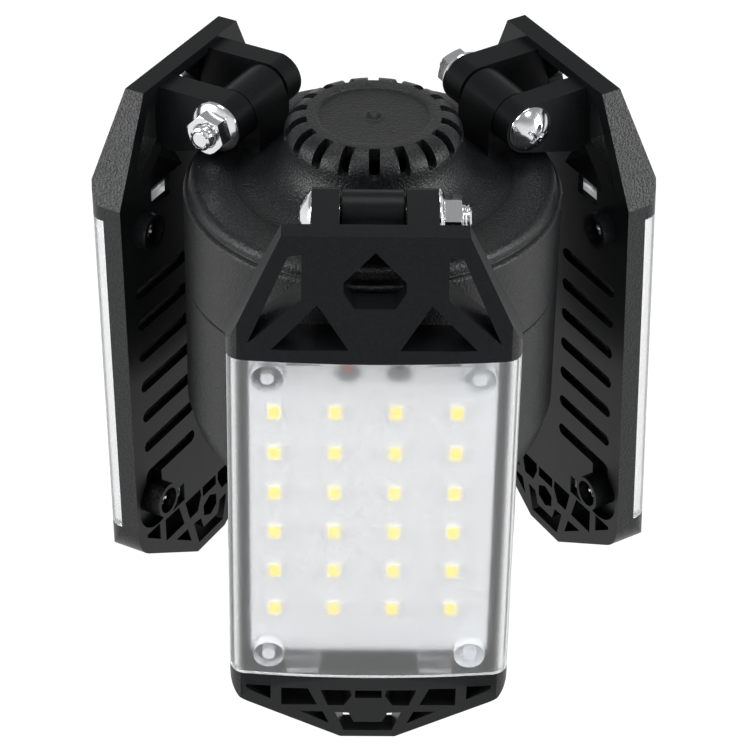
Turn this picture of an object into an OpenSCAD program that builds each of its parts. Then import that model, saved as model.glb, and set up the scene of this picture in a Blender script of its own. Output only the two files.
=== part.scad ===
// Deformable garage light: a screw-in hub with three folding light panels.
// The lamp stands on the tips of its folded panels, with the vented dome up.
// The origin is on the hub's axis, at the lower end of the cap's screw shell.
// A panel is drawn in its own frame: its origin is the middle of its hinge
// axis, X runs along that axis, -Y points away from the hub and Z is up.

/* [Hub] */
// Radius of the hub's cylinder
hub_r = 40.4; // [39.5:0.1:42]
// Wall of the hub shells
hub_wall = 2.2; // [1.6:0.1:2.8]
// Height of the dome's rim
hub_top = 121.3; // [118:0.1:124]
// Height of the seam between the upper and the lower shell
seam_z = 82.6; // [78:0.1:88]
// Depth of the shoulder below the dome's rim
shoulder_drop = 14.8; // [14:0.1:16]
// Radius of the bowl that closes the lower shell
bowl_r = 14; // [10:0.5:16]
// Height of the bowl's centre line
bowl_z = 52; // [46:0.5:60]
// Height of the groove that the lower shell's lip fills
lip_h = 3; // [2:0.5:5]

/* [Dome] */
// Radius of the sunken disc
disc_r = 12.1; // [10:0.1:12.6]
// Depth of the sunken disc
disc_sink = 0.6; // [0.3:0.1:1]
// Outer radius of the flat rim round the disc
rim_r = 14.2; // [13.4:0.1:15]
// Radius of the dome's rounded edge
dome_edge = 4.8; // [4:0.1:5.4]
// Radius of the flare between the dome and the shoulder
flare_r = 9.6; // [9:0.1:9.8]
// Number of vent slots
vents = 18; // [12:1:20]
// Width of a vent slot
vent_w = 2.3; // [1.5:0.1:2.8]
// Depth of a vent's round lower end below the dome's rim
vent_drop = 4.9; // [4:0.1:5.5]

/* [Hinges] */
// Distance from the hub's axis to a hinge axis
hinge_r = 31; // [30.5:0.1:31.5]
// Height of the hinge axes over the shoulder
hinge_lift = 8.9; // [8.5:0.1:10]
// Radius of the hub's knuckle
knuckle_r = 5.4; // [5.2:0.05:5.7]
// Distance from the hinge axis to the back of the knuckle's foot
foot_back = 6.3; // [5.9:0.1:6.6]
// Width of the hub's knuckle
knuckle_w = 12.4; // [10:0.1:13]
// Shift of the knuckle off the panel's centre line, towards the bolt's head
knuckle_shift = 0.4; // [-0.6:0.1:0.6]
// Gap between the knuckle and each ear
hinge_gap = 0.6; // [0.3:0.05:0.8]
// Distance from the centre line to the outer face of each ear
ear_out = 12.8; // [12:0.1:13]
// Radius of an ear's round end
ear_r = 5.7; // [5.5:0.05:6]
// How far an ear's flat top is cut below the top of its round end
ear_cut = 0.1; // [0.05:0.05:0.3]
// Depth of an ear's lower edge below the axis, at the panel
ear_down = 10.4; // [7:0.1:11]
// Diameter of the hinge bolt
bolt_d = 5; // [4:1:5]
// Radial clearance of the bolt in the knuckle
bolt_run = 0.05; // [0.02:0.01:0.1]
// Radial clearance of the bolt in the ears
bolt_slack = 0.1; // [0.05:0.01:0.3]
// Diameter of the bolt's pan head
head_d = 10.4; // [8.5:0.1:11]
// Height of the bolt's pan head
head_h = 3; // [2.4:0.1:3.6]
// Width of the nut across its flats
nut_af = 8; // [7:0.1:9]
// Height of the nut with its flange
nut_h = 4.9; // [4:0.1:5.5]
// Diameter of the nut's flange
flange_d = 11.6; // [10.6:0.1:12]
// Thread that stands out of the nut
thread_out = 2.1; // [1:0.1:4]

/* [Panel] */
// How far the front panel is swung out, in degrees
front_open = 0; // [-3:0.1:90]
// How far the left panel is swung out, in degrees
left_open = -1.3; // [-3:0.1:90]
// How far the right panel is swung out, in degrees
right_open = 2; // [-3:0.1:90]
// Width of a panel
panel_w = 60; // [59:0.5:64]
// Length of a panel, from its tip to its hinge end
panel_len = 130.3; // [126:0.1:136]
// Part of the panel that stands over the hinge axis
panel_over = 6.9; // [6:0.1:8]
// Distance from the hinge axis out to the panel's back
panel_out = 14.3; // [13.5:0.1:16]
// Width of the hinge end
hinge_end_w = 37.5; // [36:0.5:40]
// Length of the tapered hinge end
taper_len = 23.5; // [20:0.1:24]
// Width of the flat tip
tip_w = 12; // [10:0.5:14]
// Height of the corner where the tip's slope would meet the side
tip_len = 15.3; // [14:0.1:17]
// Radius of the lower corners
corner_r = 8; // [6:0.5:9]
// Depth of the panel at its hinge end and at its tip
end_depth = 4.6; // [4:0.1:5.5]
// Depth of the panel in the middle of its crown
crown_depth = 10.1; // [9.6:0.1:11]
// Radius of the crown across the panel
crown_r = 260; // [200:10:400]
// Radius of the crown's two long edges
edge_r = 3.8; // [3:0.1:4.5]
// Depth of the side walls, from the back to the lens
side_depth = 4.45; // [4.2:0.05:4.8]
// Thickness of the side walls
side_wall = 2.2; // [1.8:0.1:2.6]
// Thickness of the slotted back
back_wall = 1.6; // [1.3:0.1:2]
// Height of the lens's lower end over the tip
lens_low = 21.3; // [20:0.1:22]
// Height of the lens's upper end over the tip
lens_high = 103.4; // [102:0.1:104]
// Thickness of the end walls of the tray
end_wall = 1.5; // [1:0.1:2]

/* [Cooling slots] */
// Number of slot rows
slot_rows = 7; // [5:1:7]
// Distance between the rows
slot_pitch = 8.15; // [7:0.05:8.4]
// Width of a slot
slot_w = 3; // [2:0.1:3.5]
// Height of the lowest row over the tip
slot_low = 34; // [33.5:0.1:36]
// Inner end of a slot, from the centre line
slot_in = 5.3; // [4:0.1:8]
// Outer end of a slot, from the centre line
slot_out = 25.6; // [20:0.1:26]

/* [Lens and light board] */
// Thickness of the lens
lens_wall = 1.8; // [1.4:0.1:2]
// Radius of the lens's screw bosses
boss_r = 3.3; // [2.8:0.1:3.6]
// Distance of the bosses from the centre line
boss_x = 21.5; // [20.5:0.1:22]
// Height of the lower bosses over the tip
boss_low = 26.2; // [25.8:0.1:27]
// Height of the upper bosses over the tip
boss_high = 98.2; // [96:0.1:98.4]
// Width of a snap tab
tab_w = 6.8; // [5:0.1:7]
// Distance of the snap tabs from the centre line
tab_x = 14.2; // [12:0.1:14.4]
// Thickness of a snap tab
tab_t = 1.3; // [1:0.1:1.4]
// Depth of the hook on a snap tab
hook = 2; // [1:0.1:2.2]
// Distance from the panel's back to the board's back
board_lift = 3.1; // [2.9:0.05:3.3]
// Thickness of the board
board_t = 1.4; // [1:0.1:1.6]
// Width of the board
board_w = 50.6; // [48:0.1:52]
// Height of the board's lower edge over the tip
board_low = 25.6; // [24.5:0.1:27]
// Columns of light-emitting chips
led_cols = 4; // [2:1:4]
// Rows of light-emitting chips
led_rows = 6; // [3:1:6]
// Distance between the columns
led_dx = 12.45; // [10:0.05:13]
// Distance between the rows
led_dz = 10.3; // [8:0.1:11]
// Shift of the columns off the centre line
led_shift = -1.5; // [-2:0.1:2]
// Height of the lowest row over the tip
led_low = 36.2; // [35:0.1:38]
// Length of a chip
led_l = 3.5; // [3:0.1:3.5]
// Width of a chip
led_w = 2.8; // [2.4:0.1:3]
// Height of a chip
led_h = 0.7; // [0.5:0.1:1]
// Diameter of a supply lead
lead_d = 1.5; // [1:0.1:1.8]
// Distance of the leads from the centre line
lead_x = 4.9; // [4:0.1:5]
// Length of a lead that shows on the board
lead_len = 4.2; // [2:0.1:6]

/* [Small screws] */
// Radius of a lens screw's head
screw_head_r = 2.8; // [2.3:0.1:3]
// Height of a lens screw's head
screw_head_h = 1.7; // [1.3:0.1:1.7]
// Radius of a lens screw's thread
screw_r = 1.4; // [1.1:0.1:1.5]
// Length of a lens screw under its head
screw_len = 6.5; // [4:0.1:7]
// How far the screw tubes stand out of the panel's back
tube_out = 3; // [1:0.1:3.5]
// How deep a screw's head is sunk in its tube
head_sink = 1.5; // [0.5:0.1:2]
// Wall of the screw tubes
tube_wall = 0.95; // [0.8:0.05:1.2]
// Clearance round the small screws
screw_gap = 0.3; // [0.2:0.05:0.4]

/* [Screw cap] */
// Radius of the screw shell over its thread
cap_r = 13.1; // [13:0.05:13.2]
// Length of the screw shell
cap_len = 22.8; // [21:0.1:24]
// Thickness of the screw shell
cap_wall = 0.4; // [0.3:0.05:0.5]
// Radius of the hub's neck
neck_r = 15.2; // [14.2:0.1:17]
// Length of the hub's neck over the screw shell
neck_len = 7; // [5:0.5:9]
// How far the contact reaches below the screw shell
contact_drop = 5.3; // [4.8:0.1:6]
// Radius of the centre contact
contact_r = 4.9; // [4.5:0.1:5.2]
// Gap between the screw shell and the spigot in it
cap_fit = 0.05; // [0.03:0.01:0.1]

/* [Driver] */
// Gap between the driver board and the lower shell's lip
driver_gap = 1.5; // [0.5:0.1:3]
// Height of the driver board
driver_z = 77; // [76:0.5:78]
// Thickness of the driver board
driver_t = 1.6; // [1.2:0.1:2]
// Radius of the pillars under the driver board
pillar_r = 3.2; // [2.6:0.1:4]
// Distance of the pillars' centres from the board's edge
pillar_edge = 5; // [4:0.1:7]
// Room over the bulk capacitor, up to the shoulder's underside
can_room = 5.7; // [5:0.1:8]
// Radius of the output capacitor
output_r = 5; // [4:0.1:5.5]
// Gap between the output capacitor and the board screw beside it
can_gap = 2.6; // [1:0.1:4]

/* [Hidden] */

$fn = 64;

// Bearings of the three panels round the hub
FRONT = 270;
LEFT = 150;
RIGHT = 30;

// A small overlap that makes a union or a cut clean
eps = 0.01;

// Colours
shell_black = "#1d1e20";
lens_clear = [0.86, 0.87, 0.88, 0.45];
zinc = "#c9cccf";
copper_alloy = "#c8a24a";
board_white = "#e9e9ec";
board_green = "#2f6b3c";
chip_yellow = "#ffe98a";

// Dome and shoulder
shoulder_z = hub_top - shoulder_drop;
hinge_z = shoulder_z + hinge_lift;
vent_z = hub_top - vent_drop;
dome_r = rim_r + dome_edge;
edge_z = hub_top - dome_edge;
flare_x = dome_r + flare_r;
flare_z = shoulder_z + flare_r;
groove_r = flare_x + 0.9;
groove_step = 0.5;
shoulder_edge = 2.4;
bead_r = 0.6;
bead_x = hub_r + 0.1 - bead_r;
bead_z = shoulder_z - 2.9;
shoulder_end = bead_x - bead_r - shoulder_edge;
seam_chamfer = 0.2;
cavity_r = hub_r - hub_wall;
ceiling_z = shoulder_z - hub_wall;
gate_r = 1.5;

// Lower shell
bowl_x = hub_r - 0.5 - bowl_r;
bowl_turn = 60;
neck_top = cap_len + neck_len;
spigot_r = cap_r - cap_wall - cap_fit;
bore_r = spigot_r - 2.4;
lip_gap = 0.1;
lip_wall = 1.5;

// Hinge
knuckle_half = knuckle_w / 2;
foot_top = -1.2;
head_ear = knuckle_shift + knuckle_half + hinge_gap;
nut_ear = knuckle_half + hinge_gap - knuckle_shift;
ear_top = ear_r - ear_cut;
flange_t = 1;

// Panel: heights are over the tip, depths are from the hinge axis outward
tip_h = panel_over - panel_len;
half_w = panel_w / 2;
half_hinge = hinge_end_w / 2;
half_tip = tip_w / 2;
taper_low = panel_len - taper_len;
back_y = panel_out;
floor_y = back_y + back_wall;
side_y = back_y + side_depth;
crown_y = back_y + crown_depth;
end_y = back_y + end_depth;
board_y = back_y + board_lift;
board_face = board_y + board_t;
tray_half = half_w - side_wall;
tray_low = lens_low + end_wall;
tray_high = lens_high - end_wall;
well_r = screw_head_r + screw_gap;
well_rim = well_r + tube_wall;
well_y = back_y - tube_out + head_sink + screw_head_h;
pocket_r = half_w - boss_x - 1;
pocket_y = board_y - 0.9;
hook_y = back_y + 1.2;
hook_front = hook_y + 2;
tab_low = lens_low + 0.15;
tab_high = lens_high - 0.15;
arm_pocket_low = panel_len - 16.4;
arm_pocket_high = panel_len - 2.4;
arm_pocket_depth = 3;
lead_way_r = 1.6;
gallery_h = 3;
gallery_half = lead_x + lead_d;

// Driver
driver_top = driver_z + driver_t;
driver_r = cavity_r - lip_gap - lip_wall - driver_gap;
pillar_x = driver_r - pillar_edge;
board_screw_r = 1.5;
board_head_r = 2.7;
bulk_h = ceiling_z - driver_top - can_room;
output_h = bulk_h - 4;
output_x = pillar_x - board_head_r - can_gap - output_r;

// Points on an arc from angle a0 to angle a1
function arc(cx, cy, r, a0, a1, n) =
    [for (i = [0:n]) let (a = a0 + (a1 - a0) * i / n) [cx + r * cos(a), cy + r * sin(a)]];

// Half outlines become whole ones by adding their mirrored points
function mirrored(p) = concat(p, [for (i = [len(p) - 1:-1:0]) [-p[i][0], p[i][1]]]);

// Where a line from point p touches a circle of radius r at the origin
function touch(p, r, side) =
    let (a = atan2(p[1], p[0]) + side * acos(r / norm(p))) [r * cos(a), r * sin(a)];

// Depth of the crown at a distance from the centre line
function crown_at(x) = crown_y - crown_r + sqrt(crown_r * crown_r - x * x);

// ---- Placing ----

// Turn a hinge's frame to its bearing on the hub
module at_hinge(bearing)
    rotate([0, 0, bearing + 90]) translate([0, -hinge_r, hinge_z]) children();

// The same, swung out about the hinge axis
module swung(bearing, open)
    at_hinge(bearing) rotate([-open, 0, 0]) children();

// Extrude a front view, drawn across and up from the tip, between two depths
module slab(back, front)
    translate([0, -back, tip_h]) rotate([90, 0, 0]) linear_extrude(front - back) children();

// A cylinder that points away from the hub, at a place in the front view
module stud(x, h, r, back, front)
    translate([x, -back, tip_h + h]) rotate([90, 0, 0]) cylinder(r = r, h = front - back, $fn = 32);

// The same shape on both sides of the panel's centre line
module both_sides() {
    children();
    mirror([1, 0, 0]) children();
}

// ---- Hub ----

function upper_outline() = concat(
    [[0, hub_top - disc_sink], [disc_r, hub_top - disc_sink], [disc_r, hub_top], [rim_r, hub_top]],
    arc(rim_r, edge_z, dome_edge, 78, 0, 9),
    arc(flare_x, flare_z, flare_r, 180, 270, 12),
    [[groove_r, shoulder_z], [groove_r + 0.2, shoulder_z + groove_step]],
    [[(groove_r + shoulder_end) / 2, shoulder_z + groove_step + 0.35]],
    arc(shoulder_end, shoulder_z + groove_step - shoulder_edge, shoulder_edge, 90, 0, 7),
    [[bead_x - bead_r, bead_z]],
    arc(bead_x, bead_z, bead_r, 150, 0, 5),
    [[hub_r, bead_z - bead_r], [hub_r, seam_z + seam_chamfer], [hub_r - seam_chamfer, seam_z]]
);

function upper_cavity() = concat(
    [[0, seam_z - eps], [0, hub_top - disc_sink - hub_wall], [rim_r - 1, hub_top - disc_sink - hub_wall]],
    arc(flare_x, flare_z, flare_r + hub_wall, 181, 270, 7),
    arc(cavity_r - 1.8, ceiling_z - 1.8, 1.8, 90, 0, 3),
    [[cavity_r, seam_z - eps]]
);

module vent_slot()
    translate([rim_r, 0, 0]) {
        translate([0, -vent_w / 2, vent_z + vent_w / 2]) cube([dome_edge + 4, vent_w, dome_edge + 2]);
        translate([0, 0, vent_z + vent_w / 2]) rotate([0, 90, 0])
            cylinder(d = vent_w, h = dome_edge + 4, $fn = 24);
    }

// A side view, drawn across and up from the hinge axis, extruded between two places along that axis
module along_hinge(from, to)
    translate([from, 0, 0]) rotate([90, 0, 0]) rotate([0, 90, 0]) linear_extrude(to - from) children();

// A knuckle: a barrel on a foot that runs down into the shoulder
module knuckle() {
    heel = [foot_back, foot_top];
    translate([-knuckle_shift, 0, 0]) {
        rotate([0, 90, 0]) cylinder(r = knuckle_r, h = knuckle_w, center = true);
        along_hinge(-knuckle_half, knuckle_half) polygon([[-knuckle_r, 0], touch(heel, knuckle_r, 1), heel,
            [foot_back, ceiling_z - hinge_z], [-knuckle_r, ceiling_z - hinge_z]]);
    }
}

module hub_upper_shell()
    color(shell_black) difference() {
        union() {
            difference() {
                rotate_extrude($fn = 120) polygon(concat(upper_outline(), [[0, seam_z]]));
                rotate_extrude($fn = 120) polygon(upper_cavity());
            }
            for (b = [FRONT, LEFT, RIGHT]) at_hinge(b) knuckle();
        }
        for (i = [0:vents - 1]) rotate([0, 0, FRONT + i * 360 / vents]) vent_slot();
        for (b = [FRONT, LEFT, RIGHT]) {
            at_hinge(b) translate([-knuckle_shift, 0, 0]) rotate([0, 90, 0])
                cylinder(d = bolt_d + 2 * bolt_run, h = knuckle_w + 1, center = true);
        }
        translate([0, 0, hub_top - disc_sink - 0.5]) cylinder(r = gate_r, h = 1, $fn = 24);
    }

function lower_outline() = concat(
    [[hub_r - seam_chamfer, seam_z], [hub_r, seam_z - seam_chamfer]],
    arc(bowl_x, bowl_z, bowl_r, 0, -bowl_turn, 12),
    [[neck_r + 1.6, neck_top + 1.2], [neck_r, neck_top - 0.6], [neck_r, cap_len + 0.6],
     [neck_r - 0.6, cap_len], [spigot_r, cap_len], [spigot_r, 4]]
);

function lower_cavity() = concat(
    [[cavity_r - 0.1, seam_z + lip_h + eps], [cavity_r - 0.1, seam_z - 2]],
    arc(bowl_x, bowl_z, bowl_r - hub_wall, 0, -bowl_turn, 6),
    [[bore_r, neck_top + 2.5], [bore_r, 4 - eps], [0, 4 - eps], [0, seam_z + lip_h + eps]]
);

module driver_pillars()
    for (i = [0:2]) rotate([0, 0, i * 120 + 90]) translate([pillar_x, 0, 0]) children();

module hub_lower_shell()
    color(shell_black) difference() {
        union() {
            difference() {
                rotate_extrude($fn = 120) polygon(concat(lower_outline(), [[0, 4], [0, seam_z]]));
                difference() {
                    rotate_extrude($fn = 120) polygon(lower_cavity());
                    driver_pillars() cylinder(r = pillar_r, h = driver_z);
                }
            }
            translate([0, 0, seam_z - 4]) difference() {
                cylinder(r = cavity_r - lip_gap, h = 4 + lip_h, $fn = 120);
                translate([0, 0, -eps]) cylinder(r = cavity_r - lip_gap - lip_wall, h = 5 + lip_h, $fn = 120);
            }
        }
        driver_pillars() translate([0, 0, driver_z - 10]) cylinder(r = board_screw_r - 0.2, h = 11, $fn = 24);
    }

// ---- Screw cap ----

module screw_shell()
    color(zinc) rotate_extrude($fn = 96) polygon([
        [cap_r - cap_wall, cap_len], [cap_r, cap_len], [cap_r, 0], [cap_r - 2.2, -0.9],
        [cap_r - 2.6, -0.9 + cap_wall], [cap_r - cap_wall, 0.4]
    ]);

module cap_insulator()
    color(shell_black) rotate_extrude($fn = 96) polygon([
        [2, 4], [spigot_r, 4], [spigot_r, 0.5], [cap_r - 2.65, -0.42], [cap_r - 2.75, -1.6],
        [contact_r + 0.6, 1 - contact_drop], [contact_r - 1.6, 1 - contact_drop], [2, 1 - contact_drop]
    ]);

module centre_contact()
    color(copper_alloy) union() {
        translate([0, 0, 0.4 - contact_drop]) cylinder(r = contact_r, h = 0.6);
        translate([0, 0, -contact_drop]) cylinder(r1 = contact_r - 1.6, r2 = contact_r - 0.6, h = 0.4, $fn = 48);
        translate([0, 0, 0.5 - contact_drop]) cylinder(r = 1.9, h = contact_drop + 3, $fn = 32);
    }

// ---- Driver ----

module driver_board()
    color(board_green) difference() {
        translate([0, 0, driver_z]) cylinder(r = driver_r, h = driver_t, $fn = 96);
        driver_pillars() translate([0, 0, driver_z - 1]) cylinder(r = board_screw_r + 0.2, h = 4, $fn = 24);
        translate([0, 0, driver_z - 1]) cylinder(r = 4, h = 4, $fn = 32);
    }

module driver_board_screws()
    color(zinc) driver_pillars() {
        translate([0, 0, driver_z - 6]) cylinder(r = board_screw_r - 0.25, h = driver_t + 6 + eps, $fn = 24);
        translate([0, 0, driver_top]) cylinder(r = board_head_r, h = 1.6, $fn = 32);
    }

module transformer()
    color("#e8c542") translate([-6, 12, driver_top]) difference() {
        union() {
            translate([-9, -6.5, 1]) cube([18, 13, 13]);
            translate([-10, -8.5, 0]) cube([20, 17, 1.4]);
            translate([-10, -8.5, 12.6]) cube([20, 17, 1.4]);
        }
        translate([-12, -9, 4]) cube([2.5, 18, 6]);
    }

module can(r, h)
    rotate_extrude($fn = 48) polygon([[0, 0], [r - 0.4, 0], [r, 0.5], [r, 1.4], [r - 0.5, 2], [r, 2.6],
        [r, h - 0.6], [r - 0.6, h], [r - 1.4, h], [r - 1.5, h - 0.3], [0, h - 0.3]]);

module bulk_capacitor() color("#26282c") translate([14, 6, driver_top]) can(6.3, bulk_h);

module output_capacitor()
    color("#26282c") rotate([0, 0, -30]) translate([output_x, 0, driver_top]) can(output_r, output_h);

module filter_choke()
    color("#7b5a32") translate([-15, -9, driver_top]) union() {
        cylinder(r = 5, h = 1.2, $fn = 40);
        cylinder(r = 3.6, h = 9, $fn = 40);
        translate([0, 0, 8.4]) cylinder(r = 5, h = 1.2, $fn = 40);
    }

module bridge_rectifier() color("#202124") translate([-4, -21.5, driver_top]) cube([8, 6.2, 3]);

module supply_fuse()
    color("#8fa7a0") translate([-5.5, -12, driver_top + 1.6]) union() {
        rotate([0, 90, 0]) cylinder(r = 1.6, h = 11, $fn = 32);
        translate([-0.6, 0, 0]) rotate([0, 90, 0]) cylinder(r = 1.3, h = 12.2, $fn = 32);
    }

module panel_connectors()
    color("#efeee8") for (b = [FRONT, LEFT, RIGHT])
        rotate([0, 0, b + 90]) translate([-3.7, -27.5, driver_top]) difference() {
            cube([7.4, 4.9, 5.6]);
            translate([0.8, 0.8, 1]) cube([5.8, 3.3, 6]);
        }

// ---- Panel housing ----

// Outer outline of the panel, seen from the front
function panel_outline() =
    let (slope = atan2(tip_len, half_w - half_tip), turn = (90 - slope) / 2,
         reach = corner_r * tan(turn))
    mirrored(concat(
        [[half_hinge, panel_len], [half_w, taper_low]],
        arc(half_w - corner_r, tip_len + reach, corner_r, 0, slope - 90, 6),
        [[half_tip, 0]]));

// The crowned cross-section: walls, rounded long edges and a flat arch
function crown_section() =
    let (inner = half_w - edge_r, lift = crown_at(inner) - edge_r)
    mirrored(concat(
        [[half_w, -back_y]],
        [for (p = arc(inner, lift, edge_r, 0, 84, 5)) [p[0], -p[1]]],
        [for (i = [4:-1:0]) [inner * i / 5, -crown_at(inner * i / 5)]]));

// The side view: full depth behind the lens, sloping away to both ends
function side_section() = [
    [-back_y, 0], [-end_y, 0], [-crown_y, lens_low], [-crown_y, lens_high],
    [-end_y, panel_len], [-back_y, panel_len]
];

module panel_block()
    intersection() {
        slab(back_y, crown_y + 1) polygon(panel_outline());
        translate([0, 0, tip_h]) linear_extrude(panel_len) polygon(crown_section());
        translate([-half_w - 1, 0, tip_h]) rotate([90, 0, 90]) linear_extrude(panel_w + 2) polygon(side_section());
    }

// Windows of the hinge end: one in the middle, two on each side
module hinge_end_windows() {
    high = panel_len - 3.3;
    polygon([[0, high], [6.3, high - 6.3], [6.3, high - 8.4], [4.1, high - 11.8],
        [-4.1, high - 11.8], [-6.3, high - 8.4], [-6.3, high - 6.3]]);
    both_sides() {
        polygon([[11.5, high - 11], [20.8, high - 20.6], [5.2, high - 20.6]]);
        polygon([[14.7, high - 0.5], [17.4, high - 1], [25.6, high - 19.4], [14.7, high - 9.8]]);
    }
}

// Cells of the tip, between its crossing ribs
module tip_cells() {
    both_sides() {
        polygon([[21.2, 13.8], [26.5, 17.6], [26.5, 18.4], [21.2, 18.4]]);
        polygon([[18.9, 17.8], [13.1, 17.6], [11.15, 11.7], [18.9, 11.7]]);
        polygon([[10.4, 17.1], [3.9, 17], [3.6, 15], [5.3, 11.5], [8.8, 11.5]]);
        polygon([[14.9, 9.4], [9.9, 9.2], [8.5, 4.9]]);
    }
    polygon([[-2.9, 14.2], [2.9, 14.2], [2.9, 16.9], [-2.9, 16.9]]);
    polygon(mirrored([[3.1, 5.4], [4.2, 8.7], [7.2, 9], [5.3, 2.3]]));
}

module hexagon(r) rotate(90) scale([0.88, 1]) circle(r = r, $fn = 6);

// A straight slot with round ends
module slot_shape(x0, x1, w) {
    translate([x0 + w / 2, -w / 2]) square([x1 - x0 - w, w]);
    for (x = [x0 + w / 2, x1 - w / 2]) translate([x, 0]) circle(d = w, $fn = 24);
}

// One ear of the hinge, a tapered arm with a flat top and a round end
module ear(from, to) {
    arm = panel_out + 0.5;
    down = [arm, -ear_down];
    difference() {
        union() {
            translate([from, 0, 0]) rotate([0, 90, 0]) cylinder(r = ear_r, h = to - from);
            along_hinge(from, to) mirror([1, 0, 0])
                polygon([[0, 0], touch(down, ear_r, -1), down, [arm, ear_r + 1], [0, ear_r + 1]]);
        }
        translate([from - 1, -arm - 1, ear_top]) cube([to - from + 2, arm + ear_r + 2, ear_r]);
    }
}

// The seat of a lens screw: a tube that stands out of the back
module screw_tube(h, foot)
    stud(boss_x, h, well_rim, back_y - tube_out, foot);

module housing()
    color(shell_black) difference() {
        union() {
            difference() {
                panel_block();
                // room for the lens
                slab(side_y, crown_y + 2) translate([-half_w - 1, lens_low])
                    square([panel_w + 2, lens_high - lens_low]);
                // tray for the light board
                slab(floor_y, side_y + eps) translate([-tray_half, tray_low])
                    square([2 * tray_half, tray_high - tray_low]);
                // way for the leads, from between the ears to the tray
                translate([0, -floor_y - lead_way_r, tip_h + tray_high - 1])
                    cylinder(r = lead_way_r, h = arm_pocket_low - tray_high + 2, $fn = 24);
                slab(floor_y, board_face + lead_d + 0.4) translate([-gallery_half, tray_high - 1])
                    square([2 * gallery_half, gallery_h + 1]);
            }
            ear(-ear_out, -head_ear);
            ear(nut_ear, ear_out);
            both_sides() {
                for (h = [boss_low, boss_high]) screw_tube(h, board_y);
                // floor of the low pocket, inside the tray
                intersection() {
                    stud(boss_x, boss_low, pocket_r + 1, back_y, board_y);
                    slab(back_y, board_y) translate([0, tray_low - 1]) square([half_w - 1, 30]);
                }
            }
        }
        slab(back_y - 1, crown_y + 1) hinge_end_windows();
        slab(back_y - 1, crown_y + 1) tip_cells();
        // hollow back of the tip's hexagon
        slab(back_y - 1, end_y - 0.5) translate([0, 10]) hexagon(3.2);
        // pocket between the ears
        slab(back_y - 1, back_y + arm_pocket_depth) translate([-head_ear, arm_pocket_low])
            square([head_ear + nut_ear, arm_pocket_high - arm_pocket_low]);
        // the bolt's way through both ears
        translate([-ear_out - 1, 0, 0]) rotate([0, 90, 0])
            cylinder(d = bolt_d + 2 * bolt_slack, h = 2 * ear_out + 2);
        both_sides() {
            for (i = [0:slot_rows - 1])
                slab(back_y - 1, board_y + eps) translate([0, slot_low + i * slot_pitch])
                    slot_shape(slot_in, slot_out, slot_w);
            low_pocket();
            for (h = [boss_low, boss_high]) {
                stud(boss_x, h, well_r, back_y - tube_out - 1, well_y);
                stud(boss_x, h, screw_r + screw_gap / 2, back_y - 1, board_y + 1);
            }
            // openings for the lens's tabs and their hooks
            slab(back_y - 1, side_y + eps) translate([tab_x - tab_w / 2 - 0.2, lens_low])
                square([tab_w + 0.4, end_wall + 0.3]);
            slab(back_y - 1, hook_front + 0.1) translate([tab_x - tab_w / 2 - 0.2, lens_low - hook - 1])
                square([tab_w + 0.4, hook + 1.1]);
            slab(back_y - 1, side_y + eps) translate([tab_x - tab_w / 2 - 0.2, lens_high - end_wall - 0.3])
                square([tab_w + 0.4, end_wall + 0.3]);
            slab(back_y - 1, hook_front + 0.1) translate([tab_x - tab_w / 2 - 0.2, lens_high - 0.1])
                square([tab_w + 0.4, hook + 1]);
        }
    }

// The pocket round a low screw, which runs into the lowest slot
module low_pocket()
    difference() {
        slab(back_y - 1, pocket_y) {
            intersection() {
                translate([boss_x, boss_low]) circle(r = pocket_r);
                translate([boss_x - 2, 0]) square([pocket_r + 4, boss_low + 20]);
            }
            translate([boss_x - 2, boss_low]) square([slot_out - boss_x + 2, slot_low - boss_low]);
        }
        screw_tube(boss_low, board_y);
    }

// ---- Lens, light board and small parts ----

// The lens's cross-section, made smaller by a wall for its inside
module lens_section(in) {
    inner = half_w - edge_r;
    lift = crown_at(inner) - edge_r;
    r = edge_r - in;
    polygon(mirrored(concat(
        [[half_w - in, -side_y + (in > 0 ? 1 : 0)]],
        [for (p = arc(inner, lift, r, 0, 84, 5)) [p[0], -p[1]]],
        [for (i = [4:-1:0]) [inner * i / 5, in - crown_at(inner * i / 5)]])));
}

// A tab with a hook, reaching into the housing from the lens's end
module snap_tab(h, up) {
    slab(hook_y, crown_at(tab_x) - lens_wall + 0.3) translate([tab_x - tab_w / 2, up > 0 ? h - tab_t : h])
        square([tab_w, tab_t]);
    slab(hook_y, hook_front) translate([tab_x - tab_w / 2, up > 0 ? h - eps : h - hook])
        square([tab_w, hook + eps]);
}

module lens()
    color(lens_clear) difference() {
        union() {
            translate([0, 0, tip_h + lens_low]) difference() {
                linear_extrude(lens_high - lens_low) lens_section(0);
                translate([0, 0, -eps]) linear_extrude(lens_high - lens_low + 1) lens_section(lens_wall);
            }
            both_sides() {
                for (h = [boss_low, boss_high])
                    stud(boss_x, h, boss_r, board_y, crown_at(boss_x) - lens_wall + 0.3);
                snap_tab(tab_low, -1);
                snap_tab(tab_high, 1);
            }
        }
        both_sides() for (h = [boss_low, boss_high])
            stud(boss_x, h, screw_r, board_y - 1, well_y + screw_len + 0.3);
    }

module led_board()
    color(board_white) difference() {
        slab(board_y, board_face) translate([-board_w / 2, board_low])
            square([board_w, tray_high - 0.4 - board_low]);
        for (x = [-boss_x, boss_x], h = [boss_low, boss_high])
            stud(x, h, boss_r + screw_gap, board_y - 1, board_face + 1);
    }

module leds()
    color(chip_yellow) for (i = [0:led_cols - 1], j = [0:led_rows - 1])
        slab(board_face, board_face + led_h)
            translate([led_shift + (i - (led_cols - 1) / 2) * led_dx - led_w / 2, led_low + j * led_dz - led_l / 2])
                square([led_w, led_l]);

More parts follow.
